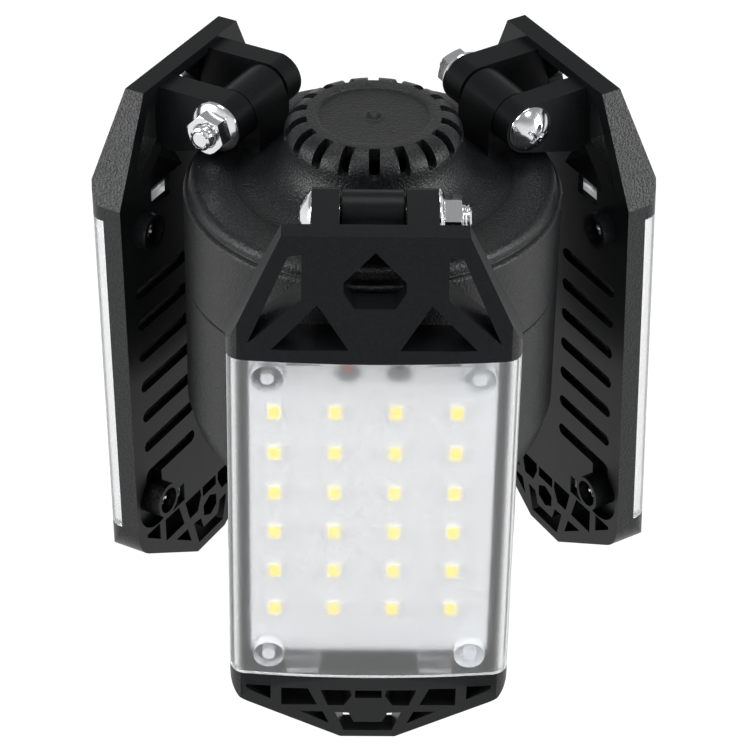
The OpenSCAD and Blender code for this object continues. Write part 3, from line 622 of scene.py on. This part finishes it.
# %% Housings
def housing_from(node, name):
    source = NODES[node]
    pick(source)
    bpy.ops.object.duplicate(linked=False)
    shape = bpy.context.object
    shape.parent = None
    for key in list(shape.keys()):
        del shape[key]
    open_mesh(shape)
    bpy.ops.mesh.remove_doubles(threshold=2e-6)
    bpy.ops.mesh.dissolve_limited(angle_limit=math.radians(0.3))
    bpy.ops.object.mode_set(mode="OBJECT")
    shape.name = name
    return soften(shape, 0.28, 24)


PLATE_BACK = 13.9
TIP_HALF, TIP_SLANT, TIP_HEIGHT = 6.1, 0.55, 24
TURNED_SIDEWAYS = 0.25


def on_side_wall(face, to_panel):
    centre = to_panel @ face.center / MM
    normal = to_panel.to_3x3() @ face.normal
    outward = normal.x if centre.x > 0 else -normal.x
    up_from_tip = min(centre.z + TIP_BELOW_HINGE, TIP_HEIGHT)
    near_edge = abs(centre.x) > TIP_HALF + TIP_SLANT * up_from_tip
    return outward > TURNED_SIDEWAYS and -centre.y > PLATE_BACK and near_edge


for side in SIDES:
    housing = housing_from(side + "_housing", side + "_housing_moulding")
    housing.data.materials.clear()
    housing.data.materials.append(satin_abs)
    housing.data.materials.append(grained_abs)
    to_panel = hinge_place(side).inverted()
    for face in housing.data.polygons:
        face.material_index = int(on_side_wall(face, to_panel))
    dress(housing, side + "_housing_moulding", side + "_panel", None, [side + "_housing"])

# %% [markdown]
# ## The lenses
# A lens is a long shallow channel with a slightly crowned face and rounded edges. Its section is traced
# with fine arcs, because refraction shows every facet, and pulled along the panel. A boolean would leave
# long thin faces that bend the view, so the four screw posts and four snap hooks end a hair's breadth
# under its inside instead.

# %% Lens section
CROWN_RADIUS, LENS_FRONT, LENS_RIM = 260.0, 24.4, 18.75
LENS_WALL, EDGE_START, EDGE_RADIUS = 1.8, 26.2, 3.8
LENS_LOW, LENS_LENGTH = 21.3, 82.1
CROWN_STEPS = 40


def crown(x):
    return LENS_FRONT - CROWN_RADIUS + math.sqrt(CROWN_RADIUS * CROWN_RADIUS - x * x)


def lens_path(wall):
    radius = EDGE_RADIUS - wall
    side_points = arc(EDGE_START, crown(EDGE_START) - EDGE_RADIUS, radius, 0, 84, 16)
    across = [EDGE_START * i / CROWN_STEPS for i in range(CROWN_STEPS - 1, 0, -1)]
    half = [(EDGE_START + radius, LENS_RIM)] + side_points + [(x, crown(x) - wall) for x in across]
    return half + [(0, crown(0) - wall)] + [(-x, y) for x, y in reversed(half)]


outline = lens_path(0) + list(reversed(lens_path(LENS_WALL)))
lens_bottom = LENS_LOW - TIP_BELOW_HINGE
lens = prism("lens", [(x, -y, lens_bottom) for x, y in outline], (0, 0, LENS_LENGTH))
print("lens section points:", len(outline))

# %% [markdown]
# A post is a short tube with the pilot hole of its screw in it. A hook is a thin tongue with a nose that
# snaps behind the housing's wall.

# %% Posts and hooks
def in_front(x, y, height):
    return (x, -y, height - TIP_BELOW_HINGE)


POST_RADIUS, POST_FOOT, POST_TOP = 3.3, 17.4, 21.6
PILOT_RADIUS, PILOT_TOP = 1.4, 21.15
TONGUE_NEAR, TONGUE_FAR, TONGUE_TOP, TONGUE_FOOT = 10.8, 17.6, 21.9, 15.5
TONGUE_WALL, HOOK_REACH, HOOK_TOP = 1.3, 2, 17.5
LENS_ENDS = ((21.45, -1), (103.25, 1))
inside_parts = []
for hand in (-1, 1):
    across = POST_ACROSS * hand
    for height in POST_HEIGHTS:
        foot, top = in_front(across, POST_FOOT, height), in_front(across, POST_TOP, height)
        post = rod("post", POST_RADIUS, foot, top, 64)
        mouth, bottom = in_front(across, POST_FOOT - 0.4, height), in_front(across, PILOT_TOP, height)
        inside_parts.append(boolean(post, rod("pilot", PILOT_RADIUS, mouth, bottom, 32), "DIFFERENCE"))
    near, far = sorted((TONGUE_NEAR * hand, TONGUE_FAR * hand))
    for inner, nose in LENS_ENDS:
        low, high = sorted((inner, inner - nose * TONGUE_WALL))
        tongue = block("tongue", in_front(near, TONGUE_TOP, low), in_front(far, TONGUE_FOOT, high))
        low, high = sorted((inner, inner + nose * HOOK_REACH))
        hook = block("hook", in_front(near, HOOK_TOP, low), in_front(far, TONGUE_FOOT, high))
        inside_parts.append(boolean(tongue, hook, "UNION"))
inside_parts = soften(join(inside_parts), 0.25, 30)
lens = join([soften(lens, 0.3, 30), inside_parts])
for finish_of_face in (clear_pc, matt_pc, hazy_pc):
    lens.data.materials.append(finish_of_face)


POLISHED, MATT, HAZY = 0, 1, 2
PAST_WALL, NEAR_POST, POST_CAP = 0.06, 3.5, 0.2


def depth_below_outside(x, y):
    reach = abs(x) - EDGE_START
    rise = y - (crown(EDGE_START) - EDGE_RADIUS)
    if reach < 0:
        return crown(x) - y
    return EDGE_RADIUS - math.hypot(reach, max(rise, 0))


def finish_of(place):
    depth = depth_below_outside(place.x, -place.y)
    in_post = depth > LENS_WALL + PAST_WALL and abs(abs(place.x) - POST_ACROSS) < NEAR_POST
    if depth < LENS_WALL / 2 or in_post and -place.y > POST_TOP - POST_CAP:
        return POLISHED
    return HAZY if in_post else MATT


for face in lens.data.polygons:
    face.material_index = finish_of(face.center / MM)
polished_count = sum(face.material_index == POLISHED for face in lens.data.polygons)
print("polished faces:", polished_count, "of", len(lens.data.polygons))
for side in SIDES:
    dress(mesh_copy(lens, hinge_place(side)), side + "_lens_moulding", side + "_panel", None,
          [side + "_lens"])
discard(lens)

# %% [markdown]
# ## Boards and light chips
# The board is a flat sheet with clean edges, so its CAD node only needs its finish. A chip is modelled
# once: a small block whose top is inset and pushed down to make the frame, and the inset face takes the
# phosphor. The chip is copied to four columns and six rows and all of one board are joined.

# %% One chip, copied
CHIP_WIDTH, CHIP_RISE, CHIP_LENGTH = 2.8, 0.7, 3.5
FRAME_WALL, PASTE_SUNK = 0.22, 0.12
low = (-CHIP_WIDTH / 2, -BOARD_FRONT - CHIP_RISE, -CHIP_LENGTH / 2)
chip = block("chip", low, (CHIP_WIDTH / 2, -BOARD_FRONT, CHIP_LENGTH / 2))
chip.data.materials.append(chip_frame)
chip.data.materials.append(phosphor)
open_mesh(chip)
bpy.ops.mesh.select_all(action="DESELECT")
bpy.ops.object.mode_set(mode="OBJECT")
for face in chip.data.polygons:
    face.select = face.normal.y < -0.9
bpy.ops.object.mode_set(mode="EDIT")
bpy.ops.mesh.inset(thickness=FRAME_WALL * MM)
bpy.ops.transform.translate(value=(0, PASTE_SUNK * MM, 0))
chip.active_material_index = 1
bpy.ops.object.material_slot_assign()
bpy.ops.object.mode_set(mode="OBJECT")
soften(chip, 0.08, 40, 1)
COLUMNS, ROWS = 4, 6
COLUMN_STEP, ROW_STEP = 12.45, 10.25
FIELD_MIDDLE, FIRST_ROW = -1.5, 37.3
for side in SIDES:
    chips = []
    for column in range(COLUMNS):
        across = FIELD_MIDDLE + (column - (COLUMNS - 1) / 2) * COLUMN_STEP
        for row in range(ROWS):
            spot = shift(across, 0, FIRST_ROW + row * ROW_STEP - TIP_BELOW_HINGE)
            chips.append(mesh_copy(chip, spot))
    field = moved(join(chips), hinge_place(side))
    dress(field, side + "_light_chips", side + "_panel", None, [side + "_leds"])
    paint(side + "_led_board", solder_mask)
discard(chip)

# %% [markdown]
# ## Supply leads
# One red and one black lead come down from the hinge end and end in solder on the board. They lie under
# the matt inside of the lens, so the photograph shows them as two soft spots. Each is a short tube whose
# bared end slopes down into a mound of solder.

# %% Leads
LEAD_ACROSS, WIRE_RADIUS, STRAND_RADIUS = 5.2, 0.75, 0.4
MOUND_HEIGHT, WIRE_END, WIRE_START = 98.1, 99.6, 104.4
WIRE_FORWARD, MOUND_FORWARD = BOARD_FRONT + 0.85, BOARD_FRONT + 0.15
STRAND_LOW, STRAND_HIGH = (BOARD_FRONT + 0.65, 97.9), (BOARD_FRONT + 0.8, 99.7)
MOUND_SHAPE = (2.5, 0.8, 2.0, 1)


def lead(name, x, material):
    wire_low, wire_high = in_front(x, WIRE_FORWARD, WIRE_END), in_front(x, WIRE_FORWARD, WIRE_START)
    wire = rod(name, WIRE_RADIUS, wire_low, wire_high, 24)
    strand = rod("strand", STRAND_RADIUS, in_front(x, *STRAND_LOW), in_front(x, *STRAND_HIGH), 16)
    clear_selection()
    bpy.ops.mesh.primitive_uv_sphere_add(segments=24, ring_count=12, radius=MM)
    on_board = shift(*in_front(x, MOUND_FORWARD, MOUND_HEIGHT))
    mound = moved(bpy.context.object, on_board @ Matrix.Diagonal(MOUND_SHAPE))
    soften(wire, 0.15, 40)
    wire.data.materials.append(material)
    for piece in (strand, mound):
        pick(piece)
        bpy.ops.object.shade_smooth()
        piece.data.materials.append(solder)
    return join([wire, strand, mound])


for side in SIDES:
    pair = join([lead("red_lead", -LEAD_ACROSS, pvc_red), lead("black_lead", LEAD_ACROSS, pvc_black)])
    dress(moved(pair, hinge_place(side)), side + "_supply_leads", side + "_panel", None,
          [side + "_leads"])

# %% [markdown]
# ## Screws, bolts and nuts
# All are cold-formed and plated. A screw is turned, and its cross recess is pressed in with a tapered
# tool: a plus-shaped outline is pulled up to a block, its lower face is scaled down, and a boolean cuts
# it out of the head.


# %% A cross recess
RECESS_TAPER = 0.45


def cross_tool(size, width, depth):
    half, arm = width / 2, size / 2
    plus = [(-half, -arm), (half, -arm), (half, -half), (arm, -half), (arm, half), (half, half),
            (half, arm), (-half, arm), (-half, half), (-arm, half), (-arm, -half), (-half, -half)]
    tool = prism("cross", [(x, y, 0) for x, y in plus], (0, 0, depth))
    open_mesh(tool)
    bpy.ops.mesh.select_all(action="DESELECT")
    bpy.ops.object.mode_set(mode="OBJECT")
    for vertex in tool.data.vertices:
        vertex.select = vertex.co.z < depth * MM / 2
    bpy.ops.object.mode_set(mode="EDIT")
    bpy.ops.transform.resize(value=(RECESS_TAPER, RECESS_TAPER, 1))
    return close_mesh(tool)


# %% [markdown]
# A lens screw has a low round head and sits 1.5 mm deep in its tube on the panel's back. It is turned
# along Z, with its head up, and then laid to point into the panel. Each one stops at an angle of its own,
# as screws do.

# %% Lens screws
SCREW_SEAT, SCREW_RECESS_FLOOR = 14.5, 0.5
screw_section = [(0, 1.7), (1.6, 1.62), (2.4, 1.25), (2.75, 0.7), (2.8, 0.15), (2.7, 0), (1.35, 0),
                 (1.35, -5.9), (0.9, -6.5), (0, -6.5)]
lens_screw = turn("lens_screw", screw_section, 40)
recess = moved(cross_tool(size=3.0, width=0.75, depth=1.6), shift(0, 0, SCREW_RECESS_FLOOR))
boolean(lens_screw, recess, "DIFFERENCE")
soften(lens_screw, 0.06, 30, 1)
for side in SIDES:
    screws = []
    for x in (-POST_ACROSS, POST_ACROSS):
        for height in POST_HEIGHTS:
            spin = 20 + x + height
            lay = shift(*in_front(x, SCREW_SEAT, height)) @ around("X", -90) @ around("Z", spin)
            screws.append(mesh_copy(lens_screw, lay))
    dress(moved(join(screws), hinge_place(side)), side + "_lens_screw_set", side + "_panel",
          [zinc_plate], [side + "_lens_screws"])
discard(lens_screw)

# %% [markdown]
# The hinge bolt is an M5 pan head. Its thread has a pitch of 0.8 mm and shows only past the nut, so just
# that end is wound, again with the Screw modifier, round a core that closes it. The nut is a hexagon with
# turned corners on a flange, made by cutting a six-sided prism with a turned barrel.

# %% Hinge bolt
BOLT_END, BOLT_RECESS_FLOOR = -32.5, 1.0
THREAD_PITCH, THREAD_TURNS, THREAD_ROOT = 0.8, 4, 2.0
bolt_section = (
    [(0, 2.9), (1.4, 2.75), (2.6, 2.3), (3.7, 1.6), (4.6, 0.9), (5.1, 0.4), (5.2, 0.1), (5.1, 0)]
    + [(BOLT_RADIUS, 0), (BOLT_RADIUS, -30.7), (2.08, -31.1), (2.08, -32.0), (1.6, -32.45), (0, BOLT_END)]
)
bolt = turn("bolt", bolt_section, 64)
recess = moved(cross_tool(size=5.6, width=1.25, depth=2.6), shift(0, 0, BOLT_RECESS_FLOOR))
boolean(bolt, recess, "DIFFERENCE")
soften(bolt, 0.08, 30)
ridge_section = [(THREAD_ROOT, -0.5), (BOLT_RADIUS, -0.2), (BOLT_RADIUS, -0.05), (THREAD_ROOT, 0.3)]
ridge = trace("bolt_thread", [(x, 0, BOLT_END + rise) for x, rise in ridge_section])
wind(ridge, THREAD_PITCH, THREAD_TURNS, 32)
bolt = join([bolt, close_mesh(ridge)])
pick(bolt)
bpy.ops.object.shade_smooth_by_angle(angle=math.radians(32))
print("bolt:", -BOLT_END, "mm under its head")

# %% [markdown]
# The nut's hexagon measures 8 mm across its flats. The barrel that cuts it is a cone above and below, and
# that leaves the curved chamfers at each corner. Bolt and nut are laid along the hinge axis, the head on
# the left.

# %% Flanged nut
NUT_CORNER, NUT_LOW, NUT_TOP = 4.62, 0.8, 4.9
clear_selection()
bpy.ops.mesh.primitive_cylinder_add(vertices=6, radius=NUT_CORNER * MM, depth=(NUT_TOP - NUT_LOW) * MM)
nut = moved(bpy.context.object, shift(0, 0, (NUT_LOW + NUT_TOP) / 2))
barrel_section = [(0, NUT_LOW), (4.7, NUT_LOW), (4.7, NUT_TOP - 0.3), (4.1, NUT_TOP), (0, NUT_TOP)]
boolean(nut, turn("nut_barrel", barrel_section, 64), "INTERSECT")
flange_section = [(0, 0), (5.5, 0), (5.8, 0.25), (5.75, 0.6), (5.3, 0.95), (4.4, 1.35), (3.0, 1.5), (0, 1.5)]
boolean(nut, turn("flange", flange_section, 64), "UNION")
hole_section = [(0, -1), (BORE_RADIUS, -1), (BORE_RADIUS, 4.4), (3.0, 4.95), (3.0, 6), (0, 6)]
boolean(nut, turn("nut_hole", hole_section, 48), "DIFFERENCE")
soften(nut, 0.1, 28)
BOLT_SPIN = {"front": 30, "left": 62, "right": 62}
NUT_SPIN = {"front": 42, "left": -14, "right": -14}
for side in SIDES:
    lay = hinge_place(side) @ shift(-EAR_OUTSIDE, 0, 0) @ around("Y", -90) @ around("Z", BOLT_SPIN[side])
    dress(mesh_copy(bolt, lay), side + "_hinge_bolt_m5", side + "_panel", [zinc_plate],
          [side + "_hinge_bolt"])
    lay = hinge_place(side) @ shift(EAR_OUTSIDE, 0, 0) @ around("Y", 90) @ around("Z", NUT_SPIN[side])
    dress(mesh_copy(nut, lay), side + "_hinge_nut_m5", side + "_panel", [zinc_plate],
          [side + "_hinge_nut"])
discard(bolt)
discard(nut)

# %% [markdown]
# ## The driver inside the hub
# Nothing opens the hub, so the driver's CAD solids stay as they are and only take their finishes.

# %% Finishes of the driver
INSIDE = {"driver_board": green_mask, "driver_board_screws": zinc_plate, "transformer": winding_tape,
          "bulk_capacitor": shrink_sleeve, "output_capacitor": shrink_sleeve, "filter_choke": copper_wire,
          "bridge_rectifier": potting_epoxy, "supply_fuse": fuse_ceramic, "panel_connectors": white_nylon}
for node, material in INSIDE.items():
    paint(node, material)
print("driver parts finished:", len(INSIDE))

# %% [markdown]
# ## Floor and backdrop
# The photograph has a bare white ground. The floor and the world are white to the camera and to
# reflections, so the metal and the lenses show that white too, while the lamps stay at a plain level. One
# function finds the rays that see this white: those from the camera, and those that a glossy or a clear
# surface sends on.

# %% Rays that see the background
def background_rays(tree):
    rays = add(tree, "ShaderNodeLightPath").outputs
    seen = rays["Is Camera Ray"]
    for kind in ("Is Glossy Ray", "Is Transmission Ray"):
        seen = add(tree, "ShaderNodeMath", {0: seen, 1: rays[kind]}, operation="MAXIMUM").outputs[0]
    return rays, seen


# %% [markdown]
# Most of the floor's white is a glow. The rest is real diffuse paint, and that part keeps a faint shadow
# under the lamp.

# %% Floor
FLOOR_SIZE, FLOOR_GAP = 6, 0.00005
GLOW_SHARE, GLOW = 0.92, 1.1
clear_selection()
floor_height = cad_box[0][2] - FLOOR_GAP
bpy.ops.mesh.primitive_plane_add(size=FLOOR_SIZE, location=(0, 0, floor_height))
floor = bpy.context.object
floor.name = "floor"
floor_paint, tree, shader = finish("paper_white_matt", colour("#f4f4f4"), 0.9, **{"Specular IOR Level": 0.0})
rays, seen = background_rays(tree)
share = add(tree, "ShaderNodeMath", {0: seen, 1: GLOW_SHARE}, operation="MULTIPLY")
glow = add(tree, "ShaderNodeEmission", {"Color": (1, 1, 1, 1), "Strength": GLOW})
white = add(tree, "ShaderNodeMixShader", {0: share.outputs[0], 1: shader.outputs[0], 2: glow.outputs[0]})
tree.links.new(white.outputs[0], tree.nodes["Material Output"].inputs["Surface"])
floor.data.materials.append(floor_paint)
print("floor at", round(floor_height * 1000, 2), "mm")

# %% [markdown]
# The world lights matt surfaces evenly from all around. A white sweep in a studio ends at some height, so
# reflections see the world grow darker between 9 and 27 degrees above the horizon. The direction's height
# is the sine of that angle, from 0.15 to 0.45.

# %% World
SWEEP_START, SWEEP_END, ABOVE_SWEEP = 0.15, 0.45, 0.38
LIGHT_ON_MATT = 0.38
world = bpy.data.worlds.new("white_studio")
bpy.context.scene.world = world
world.use_nodes = True
tree = world.node_tree
tree.nodes.clear()
rays, seen = background_rays(tree)
direction = add(tree, "ShaderNodeTexCoord").outputs["Generated"]
height = add(tree, "ShaderNodeSeparateXYZ", {0: direction}).outputs[2]
sweep = add(tree, "ShaderNodeMapRange", {"Value": height, "From Min": SWEEP_START, "From Max": SWEEP_END,
                                         "To Min": 1.0, "To Max": ABOVE_SWEEP})
level = add(tree, "ShaderNodeMix", {0: seen, 2: LIGHT_ON_MATT, 3: sweep.outputs[0]}, data_type="FLOAT")
to_camera = {0: level.outputs[0], 1: rays["Is Camera Ray"]}
level = add(tree, "ShaderNodeMath", to_camera, operation="MAXIMUM")
sky = add(tree, "ShaderNodeBackground", {"Color": (1, 1, 1, 1), "Strength": level.outputs[0]})
add(tree, "ShaderNodeOutputWorld", {"Surface": sky.outputs[0]})
print("light on matt surfaces:", LIGHT_ON_MATT)

# %% [markdown]
# ## Soft boxes
# The highlights on the hub say where the lamps stood: on each side one soft box high in front, which
# draws the spots on the dome and shoulder, and a larger one low at the side, and a weaker one overhead.


# %% Lamps
LAMP_MIDDLE = Vector((0, 0, 0.06))


def soft_box(name, place, size, power):
    clear_selection()
    bpy.ops.object.light_add(type="AREA", location=place)
    lamp = bpy.context.object
    lamp.name = name
    lamp.data.size, lamp.data.energy = size, power
    aim = LAMP_MIDDLE - Vector(place)
    lamp.rotation_euler = aim.to_track_quat("-Z", "Y").to_euler()
    print(name, "at", [round(c, 2) for c in place], "m,", power, "W")


for hand in (-1, 1):
    soft_box("soft_box_high", (0.5 * hand, -0.55, 1.0), 0.35, 3)
    soft_box("soft_box_side", (1.0 * hand, -0.35, 0.3), 0.5, 8)
soft_box("soft_box_top", (0.0, 0.25, 1.2), 0.5, 4)

# %% [markdown]
# ## Camera
# The camera was solved from the outline of the panels: a long lens at 0.70 m, 35 degrees above the lamp.
# The lamp leans about one degree in the photograph, because its rear panels stand a little open, so the
# camera is rolled and turned by that degree instead.

# %% Camera
elevation, roll, yaw = math.radians(34.869), math.radians(1.008), math.radians(1.028)
LOOK_AT, DISTANCE = Vector((0.001185, 0, 0.054374)), 0.704779
FOCAL_LENGTH, SENSOR_WIDTH = 152.19, 36
back = Vector((0, -math.cos(elevation), math.sin(elevation)))
right = Vector((1, 0, 0))
up = Vector((0, math.sin(elevation), math.cos(elevation)))
across = math.cos(roll) * right + math.sin(roll) * up
above = -math.sin(roll) * right + math.cos(roll) * up
stand = Matrix((across, above, back)).transposed().to_4x4()
stand.translation = LOOK_AT + back * DISTANCE
clear_selection()
bpy.ops.object.camera_add()
camera = bpy.context.object
camera.matrix_world = Matrix.Rotation(-yaw, 4, "Z") @ stand
camera.data.sensor_width = SENSOR_WIDTH
camera.data.lens = FOCAL_LENGTH
camera.data.clip_start = 0.01
bpy.context.scene.camera = camera
bpy.context.scene.view_settings.view_transform = "Standard"
print("camera:", DISTANCE, "m away,", FOCAL_LENGTH, "mm lens")

# %% [markdown]
# ## The CAD box at the end
# The dressed lamp must stay inside the CAD box, so that box is printed again with the number of pieces.

# %% CAD box and pieces
print("CAD box:", [[round(c * 1000, 2) for c in corner] for corner in cad_box])
print("pieces:", len(pieces_made))
